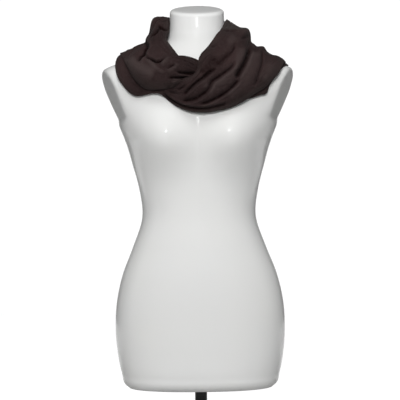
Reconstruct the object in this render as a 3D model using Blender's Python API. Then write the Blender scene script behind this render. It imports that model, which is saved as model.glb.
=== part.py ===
"""An infinity scarf wound twice round the neck of a limbless dress form, on a plain round stand.

x is the form's left and right, +y is behind it and +z is up. The tables are in millimetres, with
heights measured from the underside of the torso. The scarf is one closed loop of cloth, so its
tables follow each other round the neck twice, and the last row leads back to the first.
"""

import math
from collections import namedtuple

import bmesh
import bpy
import numpy as np
from mathutils import Vector
from mathutils.bvhtree import BVHTree

MM = 0.001
SHARP_ANGLE = math.radians(50.0)
TORSO_LIFT = 150.0

# Torso. Each ring is a rounded box: half width, depth in front of the axis and depth behind it.
Ring = namedtuple("Ring", "name height half_width front back squareness")
TORSO_RINGS = (
    Ring("bottom_inset", 0.0, 146.0, 96.0, 102.0, 2.4),
    Ring("bottom_edge", 9.0, 154.0, 103.0, 110.0, 2.4),
    Ring("seat_low", 37.0, 162.0, 107.0, 118.0, 2.35),
    Ring("hip_low", 90.0, 172.0, 107.0, 124.0, 2.3),
    Ring("hip", 143.0, 175.0, 105.0, 123.0, 2.25),
    Ring("belly_low", 195.0, 171.0, 103.0, 112.0, 2.2),
    Ring("belly", 246.0, 159.0, 99.0, 97.0, 2.15),
    Ring("waist_low", 300.0, 138.0, 92.0, 83.0, 2.1),
    Ring("waist", 365.0, 117.5, 84.0, 75.0, 2.1),
    Ring("rib_low", 420.0, 123.0, 84.0, 81.0, 2.1),
    Ring("rib", 470.0, 136.0, 90.0, 89.0, 2.1),
    Ring("bust", 520.0, 151.0, 97.0, 97.0, 2.15),
    Ring("armpit", 560.0, 170.0, 96.0, 101.0, 2.2),
    Ring("plate_low", 600.0, 196.0, 90.0, 103.0, 2.25),
    Ring("plate", 636.0, 214.0, 83.0, 100.0, 2.25),
    Ring("shoulder_tip", 660.0, 210.0, 76.0, 94.0, 2.0),
    Ring("shoulder", 680.0, 168.0, 70.0, 86.0, 1.8),
    Ring("shoulder_inner", 700.0, 106.0, 62.0, 76.0, 1.75),
    Ring("neck_root", 718.0, 71.0, 56.0, 69.0, 1.9),
    Ring("neck_low", 740.0, 60.0, 52.0, 64.0, 2.0),
    Ring("neck", 762.0, 57.0, 50.0, 62.0, 2.0),
    Ring("neck_top", 787.0, 56.0, 49.0, 61.0, 2.0),
)
RING_HEIGHTS = (
    0, 3, 9, 22, 50, 80, 110, 143, 175, 205, 235, 265, 295, 330, 365, 395, 425, 455, 480, 500,
    520, 540, 560, 580, 600, 618, 636, 650, 660, 668, 676, 684, 692, 700, 709, 718, 728, 740,
    762, 778, 787,
)
TORSO_SIDES = 64
# The armhole plates are flat and lean in toward the waist and toward the chest.
PLATE_X, PLATE_Y, PLATE_HEIGHT = 193.5, 10.0, 645.0
PLATE_LEAN_DOWN = math.radians(20.0)
PLATE_LEAN_FRONT = math.radians(15.0)
PLATE_ROUNDING = 7.0
PLATE_LOWEST = 566.0
PLATE_RETURN = 0.8
PLATE_FROM = 0.4
BUST_X, BUST_HEIGHT = 80.0, 520.0
BUST_RISE, BUST_SPREAD_X, BUST_SPREAD_HEIGHT = 27.0, 40.0, 42.0
BUST_FADE = 40.0
# The neck is cut by a plane that slopes down to the front.
CAP_SLOPE = 0.30
CAP_START, CAP_HEIGHT = 735.0, 787.0
NECK_CENTRE_Y = 6.0
Rim = namedtuple("Rim", "inset rise")
CAP_RIM = (Rim(1.2, 2.4), Rim(4.0, 4.6), Rim(9.0, 5.6), Rim(26.0, 6.2))
CAP_TOP = 6.4

# Stand.
POLE_RADIUS = 12.5
BASE_RADIUS = 150.0
BASE_THICKNESS = 5.0
BASE_EDGE = 1.5
SEAT_GAP = 0.1
POLE_SIDES = 32
BASE_SIDES = 64

Finish = namedtuple("Finish", "name red green blue roughness metallic")
WHITE_GLOSS = Finish("white_gloss", 0.80, 0.80, 0.79, 0.25, 0.0)
BLACK_PAINT = Finish("black_paint", 0.015, 0.015, 0.015, 0.40, 0.0)
BROWN_JERSEY = Finish("brown_jersey", 0.042, 0.027, 0.026, 0.90, 0.0)

# Scarf. Each row is one section across the cloth, from its inner to its outer edge. Loft is how far
# the middle of the section bulges from the straight line between the edges.
Section = namedtuple("Section", "name in_x in_y in_z out_x out_y out_z loft")
RIGHT_FRONT = (
    Section("tucked_start", -80, -94, 641, -92, -92, 617.5, 2),
    Section("under_bulge", -63, -100, 640, -76, -96, 615, 2),
    Section("pinch", -50, -106, 633.5, -61, -99, 603, 3),
    Section("out_of_pinch", -40, -114, 645, -46, -102, 592, 6),
    Section("chest_left", -27, -119, 650, -27, -104, 583, 11),
    Section("chest_low", -12, -121, 655, -6, -103, 578, 14),
    Section("chest_centre", -1, -120, 668, 18, -104, 577.5, 17),
    Section("neckline_low", 1, -114, 687, 42, -106, 581, 19),
    Section("neckline_step", 6, -103, 701, 68, -104, 588, 20),
    Section("neckline", 14, -92, 708, 93, -98, 599.5, 20),
    Section("collar_foot", 22, -82, 717, 117, -91, 616, 19),
    Section("collar_low", 30, -70, 728, 139, -83, 629.5, 17),
    Section("collar_mid", 38, -56, 740, 155, -75, 645, 14),
    Section("collar_side", 47, -41, 750, 168, -64, 660, 10),
    Section("collar_rise", 53, -24, 761, 176, -44, 677, 6),
)
COLLAR_BACK = (
    Section("right_ridge", 59, -2, 771, 183, 8, 685, 2),
    Section("right_rear", 61, 24, 772, 179, 34, 680, 4),
    Section("right_blade", 54, 46, 773, 160, 58, 676, 8),
    Section("right_nape", 39, 63, 774, 132, 80, 674, 13),
    Section("nape_right", 20, 73, 774, 96, 98, 677, 17),
    Section("nape", 1, 76, 774, 52, 110, 682, 19),
    Section("nape_left", -17, 74, 775, 7, 115, 686, 20),
    Section("left_nape", -34, 67, 776, -38, 111, 689, 20),
    Section("left_blade", -48, 54, 777, -80, 98, 692, 19),
    Section("left_rear", -58, 38, 778, -119, 75, 692, 12),
    Section("left_shoulder", -60, 21, 778, -150, 43, 688, 5),
)
LEFT_FRONT = (
    Section("left_ridge", -60, 0, 778, -168, 11, 685, 1),
    Section("collar_drop", -60, -12, 768, -166, -28, 677, 2),
    Section("collar_edge", -60, -24, 749, -155, -58, 668, 6),
    Section("collar_turn", -63, -38, 727, -143, -76, 655, 13),
    Section("neck_edge", -52, -55, 711, -130, -85, 641, 19),
    Section("neck_point", -42, -68, 698, -113, -93, 629, 24),
    Section("neckline_dip", -33, -79, 689, -98, -97, 625, 24),
    Section("neckline_bump", -22, -87, 690, -80, -104, 626, 23),
    Section("neckline_end", -11, -93, 688, -63, -110, 631.5, 14),
    Section("dive", 0, -96, 684, -50, -106, 639, 5),
    Section("under_centre", 14, -93, 677, -38, -103, 638, 2),
    Section("under_chest", 30, -89, 668, -24, -102, 636, 2),
)
UNDER_RIGHT = (
    Section("left_end", 46, -86, 662, -8, -101, 631, 1),
    Section("hidden_low", 62, -83, 660, 14, -102, 624, 1),
    Section("hidden_mid", 78, -80, 662, 42, -101, 613, 1),
    Section("hidden_side", 92, -74, 668, 72, -97, 604, 1),
    Section("hem_shows", 104, -66, 677, 102, -91, 606, 3),
    Section("corner_foot", 111, -57, 684, 128, -82, 613.5, 6),
    Section("corner", 119, -44, 692, 142, -77, 618, 8),
    Section("above_corner", 124, -29, 698, 149, -72, 635, 9),
    Section("armhole_edge", 126, -15, 701, 163, -58, 655, 7),
    Section("plate_corner", 127, -2, 703, 177, -35, 672, 5),
)
UNDER_BACK = (
    Section("shoulder_knob", 126, 10, 703, 188, 6, 677, 2),
    Section("plate_rear", 118, 32, 702, 180, 46, 668, 5),
    Section("blade_right", 104, 50, 700, 160, 73, 652, 5),
    Section("mid_right", 84, 66, 699, 130, 89, 642, 5),
    Section("spine_right", 58, 78, 699, 92, 102, 638, 5),
    Section("near_spine", 28, 86, 700, 48, 110, 638, 5),
    Section("spine_left", -4, 88, 701, 2, 112, 640, 5),
    Section("mid_left", -34, 85, 702, -42, 110, 644, 5),
    Section("blade_left", -62, 78, 702, -84, 103, 650, 5),
    Section("rear_left", -86, 66, 702, -120, 88, 657, 5),
    Section("shoulder_left", -104, 48, 702, -149, 68, 665, 5),
    Section("plate_left", -112, 28, 704, -166, 38, 675, 5),
)
UNDER_LEFT = (
    Section("ridge_left", -118, 8, 704, -169, 10, 683, 4),
    Section("shoulder_edge", -118, -12, 700, -172, -27, 674, 6),
    Section("armhole_left", -118, -42, 688, -168, -61, 655, 6),
    Section("chest_side", -115, -61, 675, -157, -71, 636, 6),
    Section("chest_turn", -109, -73, 663, -143, -77, 620, 6),
    Section("strip_low", -102, -81, 652, -128, -83, 612, 5),
    Section("strip_end", -92, -88, 645, -110, -88, 614, 3),
)
STRETCHES = (
    ("scarf_right_front", RIGHT_FRONT),
    ("scarf_collar_back", COLLAR_BACK),
    ("scarf_left_front", LEFT_FRONT),
    ("scarf_under_right", UNDER_RIGHT),
    ("scarf_under_back", UNDER_BACK),
    ("scarf_under_left", UNDER_LEFT),
)
ROWS = [row for _, rows in STRETCHES for row in rows]
TURNS = len(ROWS)

# The sections were measured from the front, where nearer cloth looks larger and the form leans.
SIGHT_DISTANCE = 2800.0
SIGHT_HEIGHT = 397.0
SIGHT_SIDE = 1.9
SIGHT_LEAN = 0.0113

# Creases on the front, each a curve through three points seen from the front. A positive depth is
# a trough and a negative one a ridge, and lean raises the cloth beside a trough.
FrontFold = namedtuple("FrontFold", "name x1 z1 x2 z2 x3 z3 depth width lean")
RIGHT_FOLDS = (
    FrontFold("deep_valley", 107, 720, 100, 688, 78, 648, 10, 13, 0.3),
    FrontFold("neckline_valley", 61, 718, 30, 672, -20, 621, 7, 12, 0.3),
    FrontFold("middle_valley", 73, 680, 33, 645, -22, 604, 6, 11, 0.3),
    FrontFold("low_valley", 86, 649, 50, 614, 2, 595, 6, 11, 0.3),
    FrontFold("hem_valley", -66, 613, -22, 589, 30, 594, 4, 10, 0.0),
    FrontFold("outer_valley", 134, 712, 131, 674, 118, 632, 4, 12, 0.2),
    FrontFold("short_valley", 76, 723, 73, 708, 65, 698, 4, 11, 0.2),
    FrontFold("knob_valley", 112, 740, 99, 737, 87, 729, 6, 11, 0.0),
    FrontFold("pinch_valley", -25, 638, -34, 629, -46, 624, 3, 10, 0.0),
    FrontFold("shoulder_swell", 122, 700, 112, 668, 92, 632, -4, 26, 0.0),
    FrontFold("collar_swell", 79, 741, 58, 716, 33, 691, -4, 24, 0.0),
)
LEFT_FOLDS = (
    FrontFold("collar_crease", -110, 728, -109, 704, -124, 680, 9, 13, 0.2),
    FrontFold("smile", -106, 693, -87, 684, -69, 691, 6, 10, 0.0),
    FrontFold("cross_ridge", -55, 694, -66, 682, -80, 668, -4, 13, 0.0),
    FrontFold("knot_valley", -46, 674, -56, 675, -68, 668, 5, 10, 0.0),
    FrontFold("upper_valley", 2, 660, -22, 660, -48, 664, 6, 10, 0.2),
    FrontFold("centre_valley", -1, 655, -32, 650, -65, 650, 7, 12, 0.3),
    FrontFold("recess", -58, 758, -86, 759, -105, 738, 9, 13, 0.0),
)
# Both kinds of fold fade out toward their ends.
FOLD_SPAN = (0.04, 0.96)
FOLD_END_POWER, LONG_END_POWER = 0.7, 0.8
BANK_PLACE = 1.7
FACING_DEPTH = 20.0
CURVE_POINTS = 25

# Long folds that follow the cloth, placed by section number and by how far across they lie.
LongFold = namedtuple("LongFold", "name first last across_1 across_2 depth width")
LONG_FOLDS = (
    LongFold("right_roll", 11.5, 19.5, 0.31, 0.35, -7, 24),
    LongFold("right_roll_valley", 12.0, 19.0, 0.49, 0.51, 12, 24),
    LongFold("right_sag", 11.0, 19.0, 0.70, 0.72, 7, 28),
    LongFold("left_roll", 20.5, 30.0, 0.20, 0.25, -21, 38),
    LongFold("left_roll_valley", 21.0, 28.5, 0.56, 0.60, 5, 26),
    LongFold("nape_valley", 17.5, 25.5, 0.42, 0.40, 6, 14),
    LongFold("blade_valley", 14.5, 23.0, 0.70, 0.66, 5, 13),
    LongFold("back_hem", 16.5, 26.0, 0.86, 0.84, 4, 11),
    LongFold("under_hem", 48.0, 58.0, 0.72, 0.76, 4, 13),
    LongFold("under_strip", 59.5, 66.0, 0.62, 0.66, 3, 12),
)

EDGE_FADE = 9.0

WALL = 2.0
CLEAR = 1.6
SEAM = 0.6
PUSH_ROUNDS = 4
SOFTEN_ROUNDS = 6
RAY_START = 60.0
LEAST_AGREEMENT = 0.5
ROLL_POWER = 4.0
FULL_ROLL_LOFT = 12.0
EDGE_CROWDING = 0.6
# Section numbers between the points that a slope is worked out from.
SLOPE_STEP = 0.4
PACE_STEP = 0.1

# The columns of faces along each stretch and the rows across it, equal along each strand.
Mesh = namedtuple("Mesh", "along across")
MESHES = {
    "scarf_right_front": Mesh(34, 15),
    "scarf_collar_back": Mesh(28, 15),
    "scarf_left_front": Mesh(28, 15),
    "scarf_under_right": Mesh(22, 9),
    "scarf_under_back": Mesh(24, 9),
    "scarf_under_left": Mesh(16, 9),
}
TOP_STRAND = ("scarf_right_front", "scarf_collar_back", "scarf_left_front")
UNDER_STRAND = ("scarf_under_right", "scarf_under_back", "scarf_under_left")
# The first stretch passes under the third before this section, and over it after.
PINCH = 2.0
PINCH_MARGIN = 0.6
PINCH_X = -54.0
# The third stretch turns into the fourth after this section.
DIVE_END = 37.0


def hermite(before, start, end, after, part):
    """A smooth curve from start to end, with slopes from the points before and after."""
    slope_1 = (end - before) / 2
    slope_2 = (after - start) / 2
    square = part**2
    cube = part**3
    return (
        (2 * cube - 3 * square + 1) * start
        + (cube - 2 * square + part) * slope_1
        + (3 * square - 2 * cube) * end
        + (cube - square) * slope_2
    )


def ring_values(height):
    """Half width, front, back and squareness at each height, as columns."""
    heights = np.array([row.height for row in TORSO_RINGS])
    sizes = np.array([row[2:] for row in TORSO_RINGS])
    slopes = np.gradient(sizes, heights, axis=0)
    index = np.clip(np.searchsorted(heights, height, side="right") - 1, 0, len(heights) - 2)
    gap = (heights[index + 1] - heights[index])[..., None]
    part = (height - heights[index])[..., None] / gap
    square = part**2
    cube = part**3
    return (
        (2 * cube - 3 * square + 1) * sizes[index]
        + (cube - 2 * square + part) * slopes[index] * gap
        + (3 * square - 2 * cube) * sizes[index + 1]
        + (cube - square) * slopes[index + 1] * gap
    )


def torso_surface(height, angle):
    """Points on the torso's skin. The angle is 0 in front and grows toward +x."""
    values = ring_values(height)
    half_width, front, back, squareness = np.moveaxis(values, -1, 0)
    power = 2.0 / squareness
    sine = np.sin(angle)
    cosine = np.cos(angle)
    x = half_width * np.sign(sine) * np.abs(sine) ** power
    depth = np.where(cosine > 0, front, back)
    y = -depth * np.sign(cosine) * np.abs(cosine) ** power
    spread_x = (np.abs(x) - BUST_X) / BUST_SPREAD_X
    spread_z = (height - BUST_HEIGHT) / BUST_SPREAD_HEIGHT
    bump = BUST_RISE * np.exp(-(spread_x**2 + spread_z**2) / 2)
    y = y - bump * np.clip(-y / BUST_FADE, 0.0, 1.0)
    plate = (
        PLATE_X
        + (y - PLATE_Y) * math.tan(PLATE_LEAN_FRONT)
        + (height - PLATE_HEIGHT) * math.tan(PLATE_LEAN_DOWN)
        + np.maximum(PLATE_LOWEST - height, 0.0) * PLATE_RETURN
    )
    wide = np.abs(x)
    clipped = 0.5 * (wide + plate - np.sqrt((wide - plate) ** 2 + PLATE_ROUNDING**2))
    near_plate = (height > BUST_HEIGHT) & (wide > PLATE_FROM * half_width)
    x = np.where(near_plate, np.sign(x) * clipped, x)
    rise = np.clip((height - CAP_START) / (CAP_HEIGHT - CAP_START), 0.0, None)
    z = height + CAP_SLOPE * (y - NECK_CENTRE_Y) * rise
    return np.stack([x, y, z], axis=-1)


def torso_rings():
    """The torso's rings of points from the bottom edge to the rim of the neck cap."""
    angles = np.linspace(0.0, 2 * math.pi, TORSO_SIDES, endpoint=False)
    rings = [torso_surface(np.full(TORSO_SIDES, float(h)), angles) for h in RING_HEIGHTS]
    top = rings[-1]
    centre = np.array([0.0, NECK_CENTRE_Y, CAP_HEIGHT])
    radius = np.linalg.norm(top[:, :2] - centre[:2], axis=1)[:, None]
    for rim in CAP_RIM:
        ring = centre + (top - centre) * (1 - rim.inset / radius)
        ring[:, 2] += rim.rise
        rings.append(ring)
    return rings, centre + np.array([0.0, 0.0, CAP_TOP])


def material_of(finish):
    """The material with this finish, made at its first use."""
    made = bpy.data.materials.get(finish.name)
    if made is None:
        made = bpy.data.materials.new(finish.name)
        made.use_nodes = True
        shader = made.node_tree.nodes["Principled BSDF"]
        shader.inputs["Base Color"].default_value = (finish.red, finish.green, finish.blue, 1.0)
        shader.inputs["Roughness"].default_value = finish.roughness
        shader.inputs["Metallic"].default_value = finish.metallic
    return made


def add_object(name, points, faces, finish):
    """One mesh object from points in millimetres above the torso's underside."""
    mesh = bpy.data.meshes.new(name)
    lifted = (np.asarray(points) + np.array([0.0, 0.0, TORSO_LIFT])) * MM
    mesh.from_pydata([tuple(point) for point in lifted], [], faces)
    builder = bmesh.new()
    builder.from_mesh(mesh)
    bmesh.ops.triangulate(builder, faces=builder.faces[:])
    bmesh.ops.recalc_face_normals(builder, faces=builder.faces[:])
    builder.to_mesh(mesh)
    builder.free()
    mesh.shade_smooth()
    mesh.set_sharp_from_angle(angle=SHARP_ANGLE)
    mesh.materials.append(material_of(finish))
    made = bpy.data.objects.new(name, mesh)
    bpy.context.scene.collection.objects.link(made)
    return made


def loft_faces(ring_count, sides, bottom, top):
    """Quads between rings, and a fan of triangles to the point at each end."""
    faces = []
    for ring in range(ring_count - 1):
        for side in range(sides):
            after = (side + 1) % sides
            low = ring * sides
            high = low + sides
            faces.append((low + side, low + after, high + after, high + side))
    last = (ring_count - 1) * sides
    for side in range(sides):
        after = (side + 1) % sides
        faces.append((bottom, after, side))
        faces.append((top, last + side, last + after))
    return faces


def build_torso():
    rings, top = torso_rings()
    points = np.concatenate(rings + [np.array([[0.0, 0.0, 0.0]]), top[None, :]])
    count = len(rings) * TORSO_SIDES
    faces = loft_faces(len(rings), TORSO_SIDES, count, count + 1)
    add_object("form_torso", points, faces, WHITE_GLOSS)
    return points, faces


def build_turned(name, profile, sides):
    """A solid turned round the z axis from rows of radius and height."""
    angles = np.linspace(0.0, 2 * math.pi, sides, endpoint=False)
    rings = []
    for radius, height in profile:
        level = np.full(sides, height)
        rings.append(np.stack([radius * np.cos(angles), radius * np.sin(angles), level], axis=-1))
    ends = np.array([[0.0, 0.0, profile[0][1]], [0.0, 0.0, profile[-1][1]]])
    count = len(rings) * sides
    faces = loft_faces(len(rings), sides, count, count + 1)
    add_object(name, np.concatenate(rings + [ends]), faces, BLACK_PAINT)


def build_stand():
    floor = -TORSO_LIFT
    base_top = floor + BASE_THICKNESS
    base = (
        (BASE_RADIUS - BASE_EDGE, floor),
        (BASE_RADIUS, floor + BASE_EDGE),
        (BASE_RADIUS, base_top - BASE_EDGE),
        (BASE_RADIUS - BASE_EDGE, base_top),
    )
    pole = ((POLE_RADIUS, base_top + SEAT_GAP), (POLE_RADIUS, -SEAT_GAP))
    build_turned("stand_base", base, BASE_SIDES)
    build_turned("stand_pole", pole, POLE_SIDES)


def true_place(points):
    """Turns points measured from the front into true ones: x, depth y and height in columns."""
    across = points[..., 0] - SIGHT_SIDE
    above = points[..., 2] - SIGHT_HEIGHT
    x = across + SIGHT_LEAN * above
    z = above - SIGHT_LEAN * across
    nearer = (SIGHT_DISTANCE + np.minimum(points[..., 1], 0.0)) / SIGHT_DISTANCE
    return np.stack([x * nearer, points[..., 1], SIGHT_HEIGHT + z * nearer], axis=-1)


def section_at(turn):
    """Inner edge, outer edge and loft at section numbers, round the closed loop."""
    table = np.array([row[1:] for row in ROWS], dtype=float)
    inner = true_place(table[:, 0:3])
    outer = true_place(table[:, 3:6])
    table = np.concatenate([inner, outer, table[:, 6:7]], axis=1)
    index = np.floor(turn).astype(int)
    part = (turn - index)[..., None]
    found = hermite(
        table[(index - 1) % TURNS],
        table[index % TURNS],
        table[(index + 1) % TURNS],
        table[(index + 2) % TURNS],
        part,
    )
    return found[..., 0:3], found[..., 3:6], found[..., 6]


def flat_band(turn, across):
    """Points of the band before its loft, with the direction that faces out of it."""
    inner, outer, loft = section_at(turn)
    part = across[..., None]
    points = inner * (1 - part) + outer * part
    inner_2, outer_2, _ = section_at(turn + SLOPE_STEP)
    inner_1, outer_1, _ = section_at(turn - SLOPE_STEP)
    along = (inner_2 - inner_1) * (1 - part) + (outer_2 - outer_1) * part
    normal = np.cross(outer - inner, along)
    normal /= np.linalg.norm(normal, axis=-1, keepdims=True)
    width = np.linalg.norm(outer - inner, axis=-1)
    return points, normal, width, loft


def seen_place(points):
    """Where points are seen from the front, as x and height, undoing true_place."""
    nearer = (SIGHT_DISTANCE + np.minimum(points[..., 1], 0.0)) / SIGHT_DISTANCE
    x = points[..., 0] / nearer
    z = (points[..., 2] - SIGHT_HEIGHT) / nearer
    scale = 1 + SIGHT_LEAN**2
    across = (x - SIGHT_LEAN * z) / scale
    above = (z + SIGHT_LEAN * x) / scale
    return np.stack([across + SIGHT_SIDE, above + SIGHT_HEIGHT], axis=-1)


def curve_points(fold):
    """Points along a front fold, as x and height."""
    start = np.array([fold.x1, fold.z1], dtype=float)
    middle = np.array([fold.x2, fold.z2], dtype=float)
    end = np.array([fold.x3, fold.z3], dtype=float)
    control = 2 * middle - (start + end) / 2
    part = np.linspace(0.0, 1.0, CURVE_POINTS)[:, None]
    return (1 - part) ** 2 * start + 2 * part * (1 - part) * control + part**2 * end


def front_fold_height(points, fold):
    """How far a front fold moves each point out."""
    curve = curve_points(fold)
    starts = curve[:-1]
    runs = curve[1:] - starts
    lengths = np.linalg.norm(runs, axis=1)
    flat = seen_place(points)[..., None, :] - starts
    part = np.clip((flat * runs).sum(-1) / lengths**2, 0.0, 1.0)
    away = flat - part[..., None] * runs
    distance = np.linalg.norm(away, axis=-1)
    nearest = distance.argmin(axis=-1)[..., None]
    least = np.take_along_axis(distance, nearest, -1)[..., 0]
    side = np.sign(runs[:, 0] * flat[..., 1] - runs[:, 1] * flat[..., 0])
    side = np.take_along_axis(side, nearest, -1)[..., 0]
    along = (np.take_along_axis(part, nearest, -1) + nearest)[..., 0] / len(runs)
    first, last = FOLD_SPAN
    window = np.sin(math.pi * (first + (last - first) * along)) ** FOLD_END_POWER
    half = fold.width / 2
    trough = -fold.depth * np.exp(-((least / half) ** 2))
    bank_away = (side * least - BANK_PLACE * half) / half
    bank = fold.lean * fold.depth * np.exp(-(bank_away**2))
    facing = np.clip(-points[..., 1] / FACING_DEPTH, 0.0, 1.0)
    return (trough + bank) * window * facing


def long_fold_height(turn, across, width, fold):
    """How far a long fold moves each point out."""
    part = np.clip((turn - fold.first) / (fold.last - fold.first), 0.0, 1.0)
    line = fold.across_1 + (fold.across_2 - fold.across_1) * part
    window = np.sin(math.pi * part) ** LONG_END_POWER
    away = (across - line) * width
    return -fold.depth * window * np.exp(-((2 * away / fold.width) ** 2))


def band_points(turn, across, front_folds):
    """The outer face of the cloth at section numbers and fractions across it."""
    points, normal, width, loft = flat_band(turn, across)
    arch = np.clip(1 - (2 * across - 1) ** 2, 0.0, 1.0)
    rolled = np.sqrt(np.clip(1 - np.abs(2 * across - 1) ** ROLL_POWER, 0.0, 1.0))
    fullness = np.clip(loft / FULL_ROLL_LOFT, 0.0, 1.0)
    height = loft * (arch + (rolled - arch) * fullness)
    lofted = points + normal * height[..., None]
    folds = np.zeros_like(height)
    for fold in LONG_FOLDS:
        folds += long_fold_height(turn, across, width, fold)
    for fold in front_folds:
        folds += front_fold_height(lofted, fold)
    from_edge = np.minimum(across, 1 - across) * width
    fade = np.clip(from_edge / EDGE_FADE, 0.0, 1.0)
    return lofted + normal * (folds * fade)[..., None], normal


def grid_normals(points, turns):
    """The outward direction at each point of a grid, from its neighbours."""
    along = np.gradient(points, turns[:, 0], axis=0)
    across = np.gradient(points, axis=1)
    normal = np.cross(across, along)
    return normal / np.linalg.norm(normal, axis=-1, keepdims=True)


def across_steps(count):
    """Fractions across the cloth, closer together at the edges."""
    even = np.linspace(0.0, 1.0, count + 1)
    return even - EDGE_CROWDING * np.sin(2 * math.pi * even) / (2 * math.pi)


def grid_faces(rows, columns):
    faces = []
    for row in range(rows - 1):
        for column in range(columns - 1):
            first = row * columns + column
            faces.append((first, first + columns, first + columns + 1, first + 1))
    return faces


def sheet_solid(outside, inside):
    """Points and faces of a wall between two grids of points."""
    rows, columns = outside.shape[:2]
    count = rows * columns
    outer_faces = grid_faces(rows, columns)
    faces = list(outer_faces)
    faces += [tuple(count + corner for corner in reversed(face)) for face in outer_faces]
    edge = [(row, 0) for row in range(rows)]
    edge += [(rows - 1, column) for column in range(1, columns)]
    edge += [(row, columns - 1) for row in range(rows - 2, -1, -1)]
    edge += [(0, column) for column in range(columns - 2, 0, -1)]
    loop = [row * columns + column for row, column in edge]
    for here, after in zip(loop, loop[1:] + loop[:1]):
        faces.append((here, after, count + after, count + here))
    both = np.concatenate([outside.reshape(-1, 3), inside.reshape(-1, 3)])
    return both, faces


def inner_face(points, turns):
    """The inner face of the cloth whose outer face is a grid of points."""
    return points - grid_normals(points, turns) * WALL


def tree_of(points, faces):
    return BVHTree.FromPolygons([Vector(point) for point in points], faces)


def soften(grid):
    """Averages each value with its neighbours."""
    padded = np.pad(grid, 1, mode="edge")
    total = np.zeros_like(grid)
    for down in (0, 1, 2):
        for right in (0, 1, 2):
            total += padded[down:down + grid.shape[0], right:right + grid.shape[1]]
    return total / 9.0


def off_the_form(points, normals, tree, needed):
    """Moves points out along their normals until each is the needed distance from the form."""
    for _ in range(PUSH_ROUNDS):
        need = np.zeros(points.shape[:2])
        for place in np.ndindex(points.shape[:2]):
            here = Vector(points[place])
            nearest, facing, _, distance = tree.find_nearest(here)
            signed = distance if (here - nearest).dot(facing) > 0 else -distance
            if signed < needed:
                agreement = max(Vector(normals[place]).dot(facing), LEAST_AGREEMENT)
                need[place] = (needed - signed) / agreement
        points = points + normals * spread_out(need, 1.0)[..., None]
    return points


def off_the_cloth(points, normals, tree, needed, allowed):
    """Moves points out along their normals until they lie outside the cloth under them."""
    need = np.zeros(points.shape[:2])
    for place in zip(*np.nonzero(allowed)):
        outward = Vector(normals[place])
        start = Vector(points[place]) + outward * RAY_START
        hit, _, _, distance = tree.ray_cast(start, -outward, 2 * RAY_START)
        if hit is not None:
            need[place] = max(0.0, RAY_START - distance + needed)
    return points + normals * spread_out(need, allowed)[..., None]


def spread_out(need, allowed):
    """The needed moves, with their neighbours moved too, so that no step is left between them."""
    spread = need.copy()
    for _ in range(SOFTEN_ROUNDS):
        spread = soften(spread) * allowed
    return np.maximum(need, spread)


def stretch_span(name):
    """The first and last section number of a stretch, with the seams left out."""
    first = 0
    for stretch, rows in STRETCHES:
        if stretch == name:
            return first, first + len(rows)
        first += len(rows)
    raise ValueError(name)


def stretch_grid(name):
    """Section numbers and fractions across for each point of a stretch."""
    first, last = stretch_span(name)
    inner_1, _, _ = section_at(np.array([first, last], dtype=float))
    inner_2, _, _ = section_at(np.array([first + PACE_STEP, last - PACE_STEP]))
    pace = np.linalg.norm(inner_2 - inner_1, axis=1) / PACE_STEP
    turns = np.linspace(first + SEAM / 2 / pace[0], last - SEAM / 2 / pace[1], MESHES[name].along + 1)
    return np.meshgrid(turns, across_steps(MESHES[name].across), indexing="ij")


def fold_table(name):
    tables = {"scarf_right_front": RIGHT_FOLDS, "scarf_left_front": LEFT_FOLDS}
    return tables.get(name, ())


def build_scarf(form):
    needed = WALL + CLEAR
    form_tree = tree_of(*form)
    turns = {}
    parts = {}
    for name, _ in STRETCHES:
        turns[name], across = stretch_grid(name)
        parts[name] = band_points(turns[name], across, fold_table(name))

    def joined(names, column):
        return np.concatenate([parts[name][column] for name in names])

    def cut_up(names, points):
        """The solid of each stretch, cut from the whole strand so that its seams match."""
        ends = np.cumsum([len(turns[name]) for name in names])[:-1]
        strand_turns = np.concatenate([turns[name] for name in names])
        outer = np.split(points, ends)
        inner = np.split(inner_face(points, strand_turns), ends)
        return {name: sheet_solid(*faces) for name, *faces in zip(names, outer, inner)}

    def rows_tree(points, chosen):
        return tree_of(*sheet_solid(points[chosen], inner_face(points, top_turns)[chosen]))

    top_turns = np.concatenate([turns[name] for name in TOP_STRAND])
    top_normals = joined(TOP_STRAND, 1)
    top = off_the_form(joined(TOP_STRAND, 0), top_normals, form_tree, needed)
    under = joined(UNDER_STRAND, 0)
    under = off_the_form(under, joined(UNDER_STRAND, 1), form_tree, needed)
    solids = cut_up(UNDER_STRAND, under)

    above_under = ((top_turns > PINCH) & (top_turns < DIVE_END)).astype(float)
    for name in UNDER_STRAND:
        tree = tree_of(*solids[name])
        top = off_the_cloth(top, top_normals, tree, needed, above_under)

    start = top_turns[:, 0] <= PINCH + PINCH_MARGIN
    left = top_turns >= stretch_span("scarf_left_front")[0]
    right = top_turns < stretch_span("scarf_collar_back")[0]
    over_start = (left & (top[..., 0] < PINCH_X)).astype(float)
    top = off_the_cloth(top, top_normals, rows_tree(top, start), needed, over_start)
    over_left = (right & (top_turns > PINCH + PINCH_MARGIN)).astype(float)
    top = off_the_cloth(top, top_normals, rows_tree(top, left[:, 0]), needed, over_left)

    solids.update(cut_up(TOP_STRAND, top))
    for name, _ in STRETCHES:
        add_object(name, *solids[name], BROWN_JERSEY)


def main():
    for old in list(bpy.data.objects):
        bpy.data.objects.remove(old, do_unlink=True)
    form = build_torso()
    build_stand()
    build_scarf(form)


main()
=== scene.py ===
"""The look of an infinity scarf worn double round the neck of a limbless dress form.

x is the form's left and right, +y is behind it and +z is up. The tables are in millimetres, and
their heights start at TORSO_LIFT above the floor. The scarf is one closed loop of cloth, so its
tables follow each other round the neck twice, and the last row leads back to the first.
"""

import math
from collections import namedtuple
from functools import partial

import bmesh
import bpy
import numpy as np
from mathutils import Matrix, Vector
from mathutils.bvhtree import BVHTree


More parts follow.
